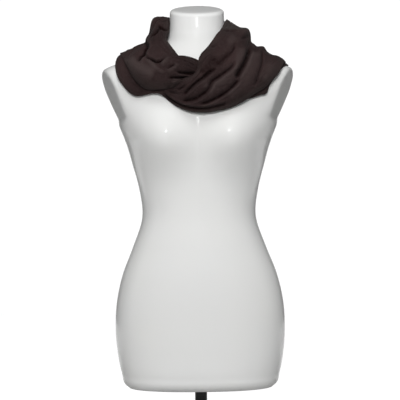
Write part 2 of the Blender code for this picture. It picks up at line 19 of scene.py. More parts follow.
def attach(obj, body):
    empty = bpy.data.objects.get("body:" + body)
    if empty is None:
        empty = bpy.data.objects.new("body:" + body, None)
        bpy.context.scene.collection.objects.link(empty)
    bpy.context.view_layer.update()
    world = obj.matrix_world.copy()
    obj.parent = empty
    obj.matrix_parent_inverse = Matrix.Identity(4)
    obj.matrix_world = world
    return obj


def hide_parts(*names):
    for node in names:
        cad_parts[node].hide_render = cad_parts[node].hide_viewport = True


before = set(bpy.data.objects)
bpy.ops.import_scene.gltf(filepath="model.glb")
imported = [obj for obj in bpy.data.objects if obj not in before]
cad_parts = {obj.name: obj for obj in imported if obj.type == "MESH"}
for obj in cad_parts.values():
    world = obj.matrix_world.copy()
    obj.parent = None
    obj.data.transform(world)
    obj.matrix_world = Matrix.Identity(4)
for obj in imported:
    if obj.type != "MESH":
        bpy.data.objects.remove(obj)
bpy.context.view_layer.update()

MM = 0.001
SHARP_ANGLE = math.radians(50.0)
TORSO_LIFT = 150.0

# Torso. Each ring is a rounded box: half width, depth in front of the axis and depth behind it.
Ring = namedtuple("Ring", "name height half_width front back squareness")
TORSO_RINGS = (
    Ring("bottom_inset", 13.0, 148.5, 97.0, 103.0, 2.4),
    Ring("bottom_edge", 20.0, 156.5, 103.5, 111.0, 2.4),
    Ring("seat_low", 40.0, 162.8, 107.0, 118.0, 2.35),
    Ring("hip_low", 90.0, 172.0, 107.0, 124.0, 2.3),
    Ring("hip", 143.0, 175.0, 105.0, 123.0, 2.25),
    Ring("belly_low", 195.0, 171.0, 103.0, 112.0, 2.2),
    Ring("belly", 246.0, 159.0, 99.0, 97.0, 2.15),
    Ring("waist_low", 300.0, 138.0, 92.0, 83.0, 2.1),
    Ring("waist", 365.0, 117.5, 84.0, 75.0, 2.1),
    Ring("rib_low", 420.0, 123.0, 84.0, 81.0, 2.1),
    Ring("rib", 470.0, 136.0, 90.0, 89.0, 2.1),
    Ring("bust", 520.0, 151.0, 97.0, 97.0, 2.15),
    Ring("armpit", 560.0, 170.0, 96.0, 101.0, 2.2),
    Ring("plate_low", 600.0, 196.0, 90.0, 103.0, 2.25),
    Ring("plate", 636.0, 214.0, 83.0, 100.0, 2.25),
    Ring("shoulder_tip", 660.0, 210.0, 76.0, 94.0, 2.0),
    Ring("shoulder", 680.0, 168.0, 70.0, 86.0, 1.8),
    Ring("shoulder_inner", 700.0, 106.0, 62.0, 76.0, 1.75),
    Ring("neck_root", 718.0, 71.0, 56.0, 69.0, 1.9),
    Ring("neck_low", 740.0, 60.0, 52.0, 64.0, 2.0),
    Ring("neck", 762.0, 57.0, 50.0, 62.0, 2.0),
    Ring("neck_top", 787.0, 56.0, 49.0, 61.0, 2.0),
)
RING_HEIGHTS = (
    13, 16, 20, 30, 50, 80, 110, 143, 175, 205, 235, 265, 295, 330, 365, 395, 425, 455, 480, 500,
    520, 540, 560, 580, 600, 618, 636, 650, 660, 668, 676, 684, 692, 700, 709, 718, 728, 740,
    762, 778, 787,
)
TORSO_SIDES = 256
RING_STEP = 4.0
LEAST_RING_PARTS = 2
# The armhole plates are flat and lean in toward the waist and toward the chest.
PLATE_X, PLATE_Y, PLATE_HEIGHT = 193.5, 10.0, 645.0
PLATE_LEAN_DOWN = math.radians(20.0)
PLATE_LEAN_FRONT = math.radians(15.0)
PLATE_ROUNDING = 7.0
PLATE_LOWEST = 566.0
PLATE_RETURN = 0.8
PLATE_SHARE = 0.4
BUST_X, BUST_HEIGHT = 80.0, 520.0
BUST_RISE, BUST_SPREAD_X, BUST_SPREAD_HEIGHT = 27.0, 40.0, 42.0
BUST_FADE = 40.0
# The neck is cut by a plane that slopes down to the front.
CAP_SLOPE = 0.30
CAP_START, CAP_HEIGHT = 735.0, 787.0
NECK_CENTRE_Y = 6.0
CAP_TOP = 6.4
# The rounded edge of the neck cap, as steps inward and up.
CAP_CURVE = (
    (0.5, 1.3), (1.2, 2.4), (2.4, 3.6), (4.0, 4.6),
    (6.2, 5.2), (9.0, 5.6), (16.0, 6.0), (26.0, 6.2),
)

# Stand.
POLE_RADIUS = 12.5
BASE_RADIUS = 150.0
BASE_THICKNESS = 5.0
BASE_EDGE = 1.5
BASE_EDGE_STEPS = 8
BASE_SIDES, POLE_SIDES = 256, 96
SEAT_GAP = 0.1

# Scarf. Each row is one section across the cloth: its name, x, y and height of its inner edge, the
# same of its outer edge, and how far its middle bulges from the straight line between them.
RIGHT_FRONT = (
    ("tucked_start", -80, -94, 641, -92, -92, 617.5, 2),
    ("under_bulge", -63, -100, 640, -76, -96, 615, 2),
    ("pinch", -51, -104, 635, -61, -99, 603, 3),
    ("out_of_pinch", -40, -109, 645, -46, -102, 592, 6),
    ("chest_left", -27, -111, 650, -27, -104, 583, 11),
    ("chest_low", -12, -112, 656, -6, -103, 578, 14),
    ("chest_centre", -1, -111, 669, 18, -104, 577.5, 17),
    ("neckline_low", 2, -107, 687, 42, -106, 581, 19),
    ("neckline_step", 7, -99, 701, 68, -104, 588, 20),
    ("neckline", 14, -92, 708, 93, -98, 599.5, 20),
    ("collar_foot", 22, -82, 717, 117, -91, 616, 19),
    ("collar_low", 30, -70, 728, 139, -83, 629.5, 17),
    ("collar_mid", 38, -56, 740, 155, -75, 645, 14),
    ("collar_side", 47, -41, 750, 168, -64, 660, 10),
    ("collar_rise", 53, -24, 761, 176, -44, 677, 6),
)
COLLAR_BACK = (
    ("right_ridge", 59, -2, 771, 183, 8, 685, 2),
    ("right_rear", 61, 24, 772, 179, 34, 680, 4),
    ("right_blade", 54, 46, 773, 160, 58, 676, 8),
    ("right_nape", 39, 63, 774, 132, 80, 674, 13),
    ("nape_right", 20, 73, 774, 96, 98, 677, 17),
    ("nape", 1, 76, 774, 52, 110, 682, 19),
    ("nape_left", -17, 74, 775, 7, 115, 686, 20),
    ("left_nape", -34, 67, 776, -38, 111, 689, 20),
    ("left_blade", -48, 54, 777, -80, 98, 692, 19),
    ("left_rear", -58, 38, 774, -119, 75, 693, 10),
    ("left_shoulder", -59, 21, 774, -146, 43, 693, 4),
)
LEFT_FRONT = (
    ("left_ridge", -59, 0, 772, -153, 11, 692, 4),
    ("collar_drop", -59, -14, 762, -151, -26, 686, 4),
    ("collar_edge", -60, -27, 748, -149, -55, 678, 8),
    ("collar_turn", -63, -38, 728, -140, -74, 660, 13),
    ("neck_edge", -52, -55, 711, -129, -84, 643, 19),
    ("neck_point", -42, -68, 698, -113, -93, 629, 24),
    ("neckline_dip", -33, -79, 689, -98, -97, 625, 24),
    ("neckline_bump", -22, -87, 692, -80, -104, 626, 20),
    ("neckline_end", -11, -93, 691, -62, -107, 628, 15),
    ("dive", 0, -95, 687, -46, -103, 631, 9),
    ("under_centre", 14, -92, 677, -36, -101, 632, 7),
    ("under_chest", 30, -89, 668, -24, -102, 636, 2),
)
UNDER_RIGHT = (
    ("left_end", 46, -86, 662, -8, -101, 631, 1),
    ("hidden_low", 62, -83, 660, 14, -102, 624, 1),
    ("hidden_mid", 78, -80, 662, 42, -101, 613, 1),
    ("hidden_side", 92, -74, 668, 72, -97, 604, 1),
    ("hem_shows", 104, -66, 677, 102, -91, 606, 3),
    ("corner_foot", 111, -57, 684, 128, -82, 613.5, 6),
    ("corner", 119, -44, 692, 142, -77, 618, 8),
    ("above_corner", 124, -29, 698, 149, -72, 635, 9),
    ("armhole_edge", 126, -15, 701, 163, -58, 655, 7),
    ("plate_corner", 127, -2, 703, 177, -35, 672, 5),
)
UNDER_BACK = (
    ("shoulder_knob", 126, 10, 703, 188, 6, 677, 2),
    ("plate_rear", 118, 32, 702, 180, 46, 668, 5),
    ("blade_right", 104, 50, 700, 160, 73, 652, 5),
    ("mid_right", 84, 66, 699, 130, 89, 642, 5),
    ("spine_right", 58, 78, 699, 92, 102, 638, 5),
    ("near_spine", 28, 86, 700, 48, 110, 638, 5),
    ("spine_left", -4, 88, 701, 2, 112, 640, 5),
    ("mid_left", -34, 85, 702, -42, 110, 644, 5),
    ("blade_left", -62, 78, 702, -84, 103, 650, 5),
    ("rear_left", -86, 66, 702, -120, 88, 657, 5),
    ("shoulder_left", -104, 48, 703, -149, 68, 668, 8),
    ("plate_left", -112, 28, 706, -166, 38, 681, 9),
)
UNDER_LEFT = (
    ("ridge_left", -118, 8, 706, -168, 10, 687, 10),
    ("shoulder_edge", -118, -12, 702, -171, -27, 676, 10),
    ("armhole_left", -118, -42, 688, -168, -61, 655, 6),
    ("chest_side", -115, -61, 675, -157, -71, 636, 6),
    ("chest_turn", -109, -73, 663, -143, -77, 620, 6),
    ("strip_low", -102, -81, 652, -128, -83, 612, 5),
    ("strip_end", -92, -88, 645, -110, -88, 614, 3),
)
ROWS = RIGHT_FRONT + COLLAR_BACK + LEFT_FRONT + UNDER_RIGHT + UNDER_BACK + UNDER_LEFT
TURNS = len(ROWS)

# The sections were measured from the front, where nearer cloth looks larger and the form leans.
SIGHT_DISTANCE = 2800.0
SIGHT_HEIGHT = 397.0
SIGHT_SIDE = 1.9
SIGHT_LEAN = 0.0113

# Creases on the front, each a curve through points seen from the front, as x and height. A positive
# depth is a trough and a negative one a ridge, and lean raises the cloth on one side of a trough.
Crease = namedtuple("Crease", "name depth width lean points")
RIGHT_CREASES = (
    ("hem_line", 7.0, 4.7, 0.25, (
        (-75, 621), (-58, 605), (-29, 591), (6, 586), (37, 591), (64, 599),
    )),
    ("neckline_shade", 4.0, 34, 0.0, ((60, 729), (41, 698), (21, 671), (4, 654))),
    ("neckline_valley", 8.0, 5.5, 0.25, (
        (39, 672), (25, 661), (10, 649), (-4, 639), (-21, 623), (-31, 613),
    )),
    ("shoulder_hollow", 3.5, 18, 0.0, ((70, 708), (54, 691), (37, 675))),
    ("short_shade", 3.0, 4.7, 0.1, ((76, 724), (74, 709), (64, 698))),
    ("middle_valley", 7.0, 7, 0.2, (
        (77, 687), (70, 673), (58, 663), (43, 652), (29, 642),
        (22, 627), (7, 614), (-10, 605), (-35, 602),
    )),
    ("low_valley", 6.5, 5.5, 0.3, ((87, 650), (75, 635), (55, 618), (23, 601), (2, 595))),
    ("deep_valley", 12.0, 8, 0.25, (
        (107, 714), (104, 700), (99, 686), (93, 674), (86, 662), (78, 648),
    )),
    ("side_line", 4.0, 3.9, 0.25, ((134, 714), (133, 687), (131, 674), (126, 659), (118, 631))),
    ("knob_under", 5.0, 7, 0.0, ((114, 740), (100, 737), (87, 729))),
    ("neck_flap", 2.5, 4, 0.2, ((42, 721), (33, 716), (24, 715))),
    ("pinch_short", 5.0, 4.7, 0.2, ((-25, 638), (-31, 630), (-46, 624))),
    ("pinch_fan", 3.0, 3.9, 0.2, ((-39, 617), (-54, 619), (-66, 625))),
    ("broad_swell", -4.0, 26, 0.0, ((93, 716), (83, 683), (50, 646), (12, 621))),
    ("outer_swell", -3.0, 26, 0.0, ((120, 708), (112, 675), (95, 642), (58, 609))),
    ("edge_swell", -3.0, 24, 0.0, ((153, 687), (147, 662), (132, 638))),
    ("collar_swell", -3.5, 22, 0.0, ((79, 741), (58, 716), (33, 691))),
    ("collar_top_line", 2.5, 4, 0.4, ((48, 749), (68, 748), (91, 749))),
)
LEFT_CREASES = (
    ("collar_crease", 9.0, 5.5, 0.3, (
        (-113, 730), (-105, 717), (-109, 709), (-112, 700), (-119, 693), (-124, 680),
    )),
    ("collar_fork", 4.0, 3.9, 0.2, ((-110, 702), (-106, 693), (-99, 689))),
    ("smile", 6.5, 3.5, 0.3, ((-106, 694), (-96, 688), (-88, 684), (-80, 685), (-69, 691))),
    ("smile_ridge", -3.0, 8, 0.0, ((-111, 693), (-95, 678), (-79, 664), (-64, 661))),
    ("knot_dark", 4.0, 4.7, 0.0, ((-45, 674), (-53, 677), (-62, 672), (-68, 668))),
    ("knot_ridge", -5.0, 8, 0.0, ((-55, 694), (-67, 683), (-78, 671))),
    ("knot_ridge_2", -3.0, 7, 0.0, ((-37, 682), (-52, 669), (-68, 661))),
    ("centre_valley_1", 8.0, 5.5, 0.2, ((2, 660), (-15, 659), (-37, 662), (-48, 664))),
    ("centre_valley_2", 7.5, 4.7, 0.3, ((-1, 655), (-15, 650), (-32, 650), (-51, 652), (-65, 650))),
    ("centre_ridge", -4.0, 8, 0.0, ((-12, 642), (-37, 640), (-58, 643))),
    ("dive_corner", 4.0, 5.5, 0.0, ((-50, 638), (-62, 631), (-75, 623))),
    ("bump_line", 1.5, 4.7, 0.2, ((-4, 682), (-21, 686), (-37, 684))),
    ("neck_line", 3.0, 3.9, 0.3, ((-61, 720), (-55, 708), (-47, 692))),
    ("recess", 9.0, 4.5, 0.0, ((-58, 751), (-70, 752), (-79, 757), (-85, 761))),
    ("recess_hook", 9.0, 4.0, 0.0, ((-84, 763), (-82, 756), (-87, 746), (-95, 737))),
    ("recess_line", 4.0, 3.5, 0.0, ((-90, 747), (-96, 739), (-100, 731))),
    ("roll_line_1", 3.0, 3.8, 0.2, ((-72, 775), (-86, 770), (-92, 760), (-97, 747), (-106, 735))),
    ("roll_line_2", 3.0, 3.8, 0.2, ((-60, 769), (-72, 769), (-82, 765))),
    ("belly_swell", -6.0, 26, 0.0, ((-147, 691), (-118, 669), (-85, 658))),
)

# Long folds that follow the cloth, placed by section number and by how far across they lie.
LongFold = namedtuple("LongFold", "name first last across_1 across_2 depth width")
LONG_FOLDS = (
    ("right_roll", 11.5, 19.5, 0.295, 0.325, -8, 22),
    ("right_roll_foot", 12.5, 19.0, 0.452, 0.462, 10, 15),
    ("right_roll_valley", 12.0, 19.0, 0.54, 0.555, 11, 18),
    ("right_sag", 11.0, 19.0, 0.74, 0.75, 7, 30),
    ("left_roll", 20.5, 30.5, 0.09, 0.28, -20, 42),
    ("left_roll_valley", 21.0, 28.5, 0.56, 0.60, 5, 26),
    ("nape_valley", 17.5, 25.5, 0.42, 0.40, 6, 14),
    ("blade_valley", 14.5, 23.0, 0.70, 0.66, 5, 13),
    ("back_hem", 16.5, 24.5, 0.86, 0.84, 4, 11),
    ("back_sweep", 16.0, 22.5, 0.28, 0.50, 6, 10),
    ("back_tuck", 19.5, 25.5, 0.64, 0.52, 5, 9),
    ("under_hem", 48.0, 58.0, 0.72, 0.76, 4, 13),
    ("under_strip", 59.5, 66.0, 0.62, 0.66, 3, 12),
)

# Long folds fade out at both ends and this near to the cloth's edges.
LONG_FADE = 6.0
LONG_WINDOW_POWER = 0.8

# A crease's curve is cut into steps, and its depth fades out toward its ends.
CURVE_STEPS = 8
CREASE_REACH = 2.5
END_FADE, SHORT_END_SHARE = 14.0, 0.4
FADE_START = -0.15
TROUGH_POWER, RIDGE_POWER = 1.2, 2.0
CREASE_ROUND = 1.2
BANK_PLACE = 1.8
# Creases lie on the front alone and fade out toward the back.
FRONT_END, FRONT_FADE = 24.0, 10.0
# Where the right creases end and the left ones start, as section numbers.
RIGHT_ENDS, LEFT_STARTS = 15.0, 26.0
SIDE_FADE = 2.5

# Small meandering creases, more of them along the cloth than across it.
Ripple = namedtuple("Ripple", "seed cells_along cells_across depth sharpness")
TOP_RIPPLES = (
    Ripple(3, 14, 12, 1.1, 0.35),
    Ripple(11, 34, 26, 0.5, 0.40),
)
UNDER_RIPPLES = (
    Ripple(5, 14, 9, 1.2, 0.35),
    Ripple(17, 34, 18, 0.5, 0.40),
)
RIPPLE_LEVEL, MOST_RIPPLE = 0.5, 1.5

# The cloth's wall, its distance from what it lies on, and how it is moved out to keep that.
WALL = 1.4
CLEAR = 1.6
EDGE_CLEAR = 1.8
EDGE_REACH = 20.0
PUSH_ROUNDS = 4
SPREAD_ROUNDS = 6
SPREAD_ALONG, SPREAD_ACROSS = 8, 5
RAY_START = 60.0
LEAST_AGREEMENT = 0.5

# A full loft rolls the cloth's edges under, except along the inner edge on the chest.
ROLL_POWER = 4.0
FULL_ROLL_LOFT = 12.0
SOFT_EDGE_TURNS, SOFT_EDGE_ACROSS = (8.0, 12.0), (0.3, 0.5)

# Section numbers: the strand comes out from under its own end at the pinch, dives under itself and
# becomes the lower strand at the split. Left of the pinch's x it lies over its own end.
PINCH, PINCH_MARGIN, PINCH_X = 2.0, 0.6, -54.0
DIVE_END, STRAND_SPLIT = 37.0, 38.0

# Grids of points: rows along the cloth, columns across it, fewer rows at the back.
SECTION_STEP = 0.4
PACE_SAMPLES = 1600
FRONT_ALONG, COLLAR_ALONG, TOP_ACROSS = 360, 400, 116
UNDER_ALONG, UNDER_ACROSS = 360, 60
BACK_Y, BACK_SHARE = 20.0, 0.55
EDGE_CROWDING = 0.6

# Colours painted on the cloth: a painted sheen that greys its edges and the hem's underside, a
# greyer reverse side, painted shade in hollows and painted highlight on ridges.
EDGE_ACROSS, EDGE_SHEEN = (0.02, 0.16), 0.2
HEM_ACROSS, HEM_SHEEN = (0.925, 0.965), 0.45
HEM_STARTS, HEM_ENDS = (2.0, 3.0), (9.0, 14.0)
REVERSE_Y, REVERSE_HEIGHTS, REVERSE_TONE = 40.0, (748.0, 751.5), 0.9
PAINTED_SHADE_EVEN = 0.5
HOLLOW_ROUNDS, HOLLOW_ALONG, HOLLOW_ACROSS = 2, 4, 4
HOLLOW_RISE, HOLLOW_CREASE = 18.0, 15.0

# Stitches of the jersey, in metres.
WALE_WIDTH = 0.0011
COURSE_HEIGHT = 0.0008
STITCH_SHARE = 0.5
WHITE = (1.0, 1.0, 1.0, 1.0)
JERSEY_DARK = (0.0193, 0.0116, 0.0117, 1.0)
JERSEY_LIGHT = (0.036, 0.0216, 0.0213, 1.0)
# Painted sheen grey for the edges and hem, which also greys the reverse side.
JERSEY_SHEEN_AND_REVERSE = (0.04, 0.0345, 0.0315, 1.0)
# Painted shade for the hollows and painted highlight for the ridges.
JERSEY_PAINTED_SHADE = (0.008, 0.0028, 0.0027, 1.0)
JERSEY_PAINTED_HIGHLIGHT = (0.052, 0.037, 0.036, 1.0)
JERSEY_FLECK = (0.05, 0.039, 0.038, 1.0)
JERSEY_SHEEN = (0.75, 0.68, 0.66, 1.0)
PLASTIC_COOL = (0.815, 0.82, 0.82, 1.0)
PLASTIC_WARM = (0.84, 0.84, 0.82, 1.0)
PAINT_DARK = (0.01, 0.01, 0.01, 1.0)
PAINT_LIGHT = (0.02, 0.02, 0.021, 1.0)
FLOOR_COOL = (0.66, 0.66, 0.66, 1.0)
FLOOR_WARM = (0.7, 0.7, 0.69, 1.0)

# Noise in the materials, with its scale for each metre.
Noise = namedtuple("Noise", "Scale Detail Roughness")
FUZZ = Noise(900.0, 3.0, 0.5)
DYE = Noise(14.0, 4.0, 0.5)
FLECKS = Noise(260.0, 3.0, 0.6)
PLASTIC_CLOUDS = Noise(7.0, 3.0, 0.5)
PLASTIC_GRAIN = Noise(180.0, 2.0, 0.5)
PAINT_PATCHES = Noise(22.0, 3.0, 0.5)
PAINT_GRAIN = Noise(1400.0, 2.0, 0.5)
FLOOR_CLOUDS = Noise(3.0, 2.0, 0.5)
# Bumps, as distance in metres and strength.
FUZZ_BUMP, KNIT_BUMP = (0.0002, 0.35), (0.00012, 0.5)
PLASTIC_BUMP, PAINT_BUMP = (0.0002, 0.15), (0.0001, 0.3)
# Spans of values that the materials map from or to.
FULL_SPAN = (0.0, 1.0)
NOISE_SPAN = (0.3, 0.7)
# The hollow value maps over these spans to painted shade and painted highlight.
PAINTED_SHADE_SPAN, PAINTED_HIGHLIGHT_SPAN = (0.59, 0.95), (0.45, 0.1)
FLECK_SPAN, FLECK_SHARE = (0.45, 0.75), (0.0, 0.35)
JERSEY_ROUGHNESS = (0.82, 0.96)
PLASTIC_ROUGHNESS = (0.44, 0.54)
PAINT_ROUGHNESS = (0.34, 0.5)

# Stage, in metres. The floor and the world glow behind the form, as a lit backdrop does.
FLOOR_RADIUS, FLOOR_SIDES = 4.0, 96
FLOOR_DROP = -0.0005
FLOOR_GLOW_FROM, FLOOR_GLOW = (0.4, 0.9), (0.0, 0.9)
WORLD_GLOW_FROM, WORLD_GLOW = (0.93, 0.965), (0.06, 1.05)
SENSOR_WIDTH = 36.0
CAMERA_DISTANCE, VIEW_WIDTH = 2.8, 0.828
CAMERA_PLACE = (0.0023, -CAMERA_DISTANCE, 0.547)
CAMERA_LENS = SENSOR_WIDTH * CAMERA_DISTANCE / VIEW_WIDTH
CAMERA_ROLL = math.atan(SIGHT_LEAN)
Light = namedtuple("Light", "name place target_height width height power")
LIGHTS = (
    Light("front", (-0.15, -3.2, 2.1), 0.62, 1.4, 1.0, 62.0),
    Light("sparkle", (-0.05, -2.9, 1.7), 0.65, 0.3, 0.3, 6.0),
    Light("top", (0.0, -1.2, 2.8), 0.60, 2.0, 1.0, 28.0),
    Light("left", (-2.4, -0.6, 1.0), 0.60, 0.8, 1.6, 2.0),
    Light("right", (2.4, -0.6, 1.2), 0.60, 0.8, 1.6, 1.0),
)
# Only these lights show as glints in the gloss of the plastic.
MIRRORED_LIGHTS = ("sparkle", "left", "right")


def cubic(start, slope_1, end, slope_2, part):
    """A smooth curve from start to end with the slopes given for its ends."""
    square = part**2
    cube = part**3
    return (
        (2 * cube - 3 * square + 1) * start
        + (cube - 2 * square + part) * slope_1
        + (3 * square - 2 * cube) * end
        + (cube - square) * slope_2
    )


def curve_between(before, start, end, after, part):
    """A smooth curve from start to end, with slopes from the points before and after."""
    return cubic(start, (end - before) / 2, end, (after - start) / 2, part)


def ramp(values, start, end):
    """Rises smoothly from 0 at start to 1 at end."""
    part = np.clip((values - start) / (end - start), 0.0, 1.0)
    return part * part * (3 - 2 * part)


def ring_values(height):
    """Half width, front, back and squareness at each height, as columns."""
    heights = np.array([row.height for row in TORSO_RINGS])
    sizes = np.array([row[2:] for row in TORSO_RINGS])
    slopes = np.gradient(sizes, heights, axis=0)
    low = np.clip(np.searchsorted(heights, height, side="right") - 1, 0, len(heights) - 2)
    high = low + 1
    gap = (heights[high] - heights[low])[..., None]
    part = (height - heights[low])[..., None] / gap
    return cubic(sizes[low], slopes[low] * gap, sizes[high], slopes[high] * gap, part)


def torso_surface(height, angle):
    """Points on the torso's skin. The angle is 0 in front and grows toward +x."""
    values = ring_values(height)
    half_width, front, back, squareness = np.moveaxis(values, -1, 0)
    power = 2.0 / squareness
    sine = np.sin(angle)
    cosine = np.cos(angle)
    x = half_width * np.sign(sine) * np.abs(sine) ** power
    depth = np.where(cosine > 0, front, back)
    y = -depth * np.sign(cosine) * np.abs(cosine) ** power
    spread_x = (np.abs(x) - BUST_X) / BUST_SPREAD_X
    spread_z = (height - BUST_HEIGHT) / BUST_SPREAD_HEIGHT
    bump = BUST_RISE * np.exp(-(spread_x**2 + spread_z**2) / 2)
    y = y - bump * np.clip(-y / BUST_FADE, 0.0, 1.0)
    plate = (
        PLATE_X
        + (y - PLATE_Y) * math.tan(PLATE_LEAN_FRONT)
        + (height - PLATE_HEIGHT) * math.tan(PLATE_LEAN_DOWN)
        + np.maximum(PLATE_LOWEST - height, 0.0) * PLATE_RETURN
    )
    wide = np.abs(x)
    clipped = 0.5 * (wide + plate - np.sqrt((wide - plate) ** 2 + PLATE_ROUNDING**2))
    near_plate = (height > BUST_HEIGHT) & (wide > PLATE_SHARE * half_width)
    x = np.where(near_plate, np.sign(x) * clipped, x)
    rise = np.clip((height - CAP_START) / (CAP_HEIGHT - CAP_START), 0.0, None)
    z = height + CAP_SLOPE * (y - NECK_CENTRE_Y) * rise
    return np.stack([x, y, z], axis=-1)


def sight_scale(points):
    """How much smaller each point is than it looks from the front."""
    return (SIGHT_DISTANCE + np.minimum(points[..., 1], 0.0)) / SIGHT_DISTANCE


def true_place(points):
    """Turns points measured from the front into true ones: x, y and height in columns."""
    across = points[..., 0] - SIGHT_SIDE
    above = points[..., 2] - SIGHT_HEIGHT
    x = across + SIGHT_LEAN * above
    z = above - SIGHT_LEAN * across
    nearer = sight_scale(points)
    return np.stack([x * nearer, points[..., 1], SIGHT_HEIGHT + z * nearer], axis=-1)


def section_at(turn):
    """Inner edge, outer edge and loft at section numbers, round the closed loop."""
    table = np.array([row[1:] for row in ROWS], dtype=float)
    inner = true_place(table[:, 0:3])
    outer = true_place(table[:, 3:6])
    table = np.concatenate([inner, outer, table[:, 6:7]], axis=1)
    index = np.floor(turn).astype(int)
    part = (turn - index)[..., None]
    found = curve_between(
        table[(index - 1) % TURNS],
        table[index % TURNS],
        table[(index + 1) % TURNS],
        table[(index + 2) % TURNS],
        part,
    )
    return found[..., 0:3], found[..., 3:6], found[..., 6]


def flat_band(turn, across):
    """Points of the band before its loft, with the direction that faces out of it."""
    inner, outer, loft = section_at(turn)
    part = across[..., None]
    points = inner * (1 - part) + outer * part
    inner_2, outer_2, _ = section_at(turn + SECTION_STEP)
    inner_1, outer_1, _ = section_at(turn - SECTION_STEP)
    along = (inner_2 - inner_1) * (1 - part) + (outer_2 - outer_1) * part
    normal = np.cross(outer - inner, along)
    normal /= np.linalg.norm(normal, axis=-1, keepdims=True)
    width = np.linalg.norm(outer - inner, axis=-1)
    return points, normal, width, loft


def seen_place(points):
    """Where points show from the front, as x and height measured there."""
    nearer = sight_scale(points)
    x = points[..., 0] / nearer
    z = (points[..., 2] - SIGHT_HEIGHT) / nearer
    scale = 1 + SIGHT_LEAN**2
    across = (x - SIGHT_LEAN * z) / scale
    above = (z + SIGHT_LEAN * x) / scale
    return np.stack([across + SIGHT_SIDE, above + SIGHT_HEIGHT], axis=-1)


def curve_through(points):
    """A smooth curve through a crease's points, and how far along it each of its points lies."""
    ends = np.array(points, dtype=float)
    padded = np.concatenate([2 * ends[:1] - ends[1:2], ends, 2 * ends[-1:] - ends[-2:-1]])
    part = np.linspace(0.0, 1.0, CURVE_STEPS, endpoint=False)[:, None]
    pieces = [curve_between(*padded[i:i + 4], part) for i in range(len(ends) - 1)]
    curve = np.concatenate(pieces + [ends[-1:]])
    steps = np.linalg.norm(np.diff(curve, axis=0), axis=1)
    return curve, np.concatenate([[0.0], np.cumsum(steps)])


def nearest_on_curve(places, curve, travelled):
    """Each place's distance from a curve, its side of it and how far along it lies."""
    starts = curve[:-1]
    runs = curve[1:] - starts
    lengths = np.linalg.norm(runs, axis=1)
    away = places[:, None, :] - starts
    part = np.clip((away * runs).sum(-1) / lengths**2, 0.0, 1.0)
    distance = np.linalg.norm(away - part[..., None] * runs, axis=-1)
    nearest = distance.argmin(axis=1)
    row = np.arange(len(nearest))
    run = runs[nearest]
    away = away[row, nearest]
    side = np.sign(run[:, 0] * away[:, 1] - run[:, 1] * away[:, 0])
    along = travelled[nearest] + part[row, nearest] * lengths[nearest]
    return distance[row, nearest], side, along


def crease_height(seen, front, crease):
    """How far a crease moves each point out."""
    curve, travelled = curve_through(crease.points)
    reach = CREASE_REACH * crease.width
    low = curve.min(axis=0) - reach
    high = curve.max(axis=0) + reach
    close = ((seen > low) & (seen < high)).all(axis=-1) & (front > 0)
    height = np.zeros(close.shape)
    if not close.any():
        return height
    distance, side, along = nearest_on_curve(seen[close], curve, travelled)
    total = travelled[-1]
    ends = np.minimum(along, total - along) / min(END_FADE, SHORT_END_SHARE * total)
    window = ramp(ends, FADE_START, 1.0)
    half = crease.width / 2
    power = RIDGE_POWER if crease.depth < 0 else TROUGH_POWER
    distance = np.sqrt(distance**2 + CREASE_ROUND**2) - CREASE_ROUND
    trough = -crease.depth * np.exp(-((distance / half) ** power))
    from_bank = (side * distance - BANK_PLACE * half) / half
    bank = crease.lean * crease.depth * np.exp(-(from_bank**2))
    height[close] = (trough + bank) * window * front[close]
    return height


def long_fold_height(turn, across, width, fold):
    """How far a long fold moves each point out."""
    part = np.clip((turn - fold.first) / (fold.last - fold.first), 0.0, 1.0)
    line = fold.across_1 + (fold.across_2 - fold.across_1) * part
    window = np.sin(math.pi * part) ** LONG_WINDOW_POWER
    away = (across - line) * width
    return -fold.depth * window * np.exp(-((2 * away / fold.width) ** 2))


def blurred(grid, reach_along, reach_across):
    """Averages each value with its neighbours out to a reach on both axes."""
    for axis, reach in ((0, reach_along), (1, reach_across)):
        pad = [(reach + 1, reach), (0, 0)] if axis == 0 else [(0, 0), (reach + 1, reach)]
        total = np.cumsum(np.pad(grid, pad, mode="edge"), axis=axis)
        size = 2 * reach + 1
        high = np.take(total, range(size, total.shape[axis]), axis=axis)
        low = np.take(total, range(0, total.shape[axis] - size), axis=axis)
        grid = (high - low) / size
    return grid


def spread_out(need, allowed):
    """The needed moves, with their neighbours moved too, so that no step is left between them."""
    spread = need.copy()
    for _ in range(SPREAD_ROUNDS):
        spread = blurred(spread, SPREAD_ALONG, SPREAD_ACROSS) * allowed
    return np.maximum(need, spread)


def off_the_form(points, normals, tree, needed):
    """Moves points out along their normals until each is the needed distance from the form."""
    for _ in range(PUSH_ROUNDS):
        need = np.zeros(points.shape[:2])
        for place in np.ndindex(points.shape[:2]):
            here = Vector(points[place])
            nearest, facing, _, distance = tree.find_nearest(here)
            signed = distance if (here - nearest).dot(facing) > 0 else -distance
            if signed < needed:
                agreement = max(Vector(normals[place]).dot(facing), LEAST_AGREEMENT)
                need[place] = (needed - signed) / agreement
        points = points + normals * spread_out(need, 1.0)[..., None]
    return points


def off_the_cloth(points, normals, tree, needed, allowed):
    """Moves points out along their normals until they lie outside the cloth under them."""
    needed = np.broadcast_to(needed, allowed.shape)
    need = np.zeros(points.shape[:2])
    for place in zip(*np.nonzero(allowed)):
        outward = Vector(normals[place])
        start = Vector(points[place]) + outward * RAY_START
        hit, _, _, distance = tree.ray_cast(start, -outward, 2 * RAY_START)
        if hit is not None:
            need[place] = max(0.0, RAY_START - distance + needed[place])
    return points + normals * spread_out(need, allowed)[..., None]


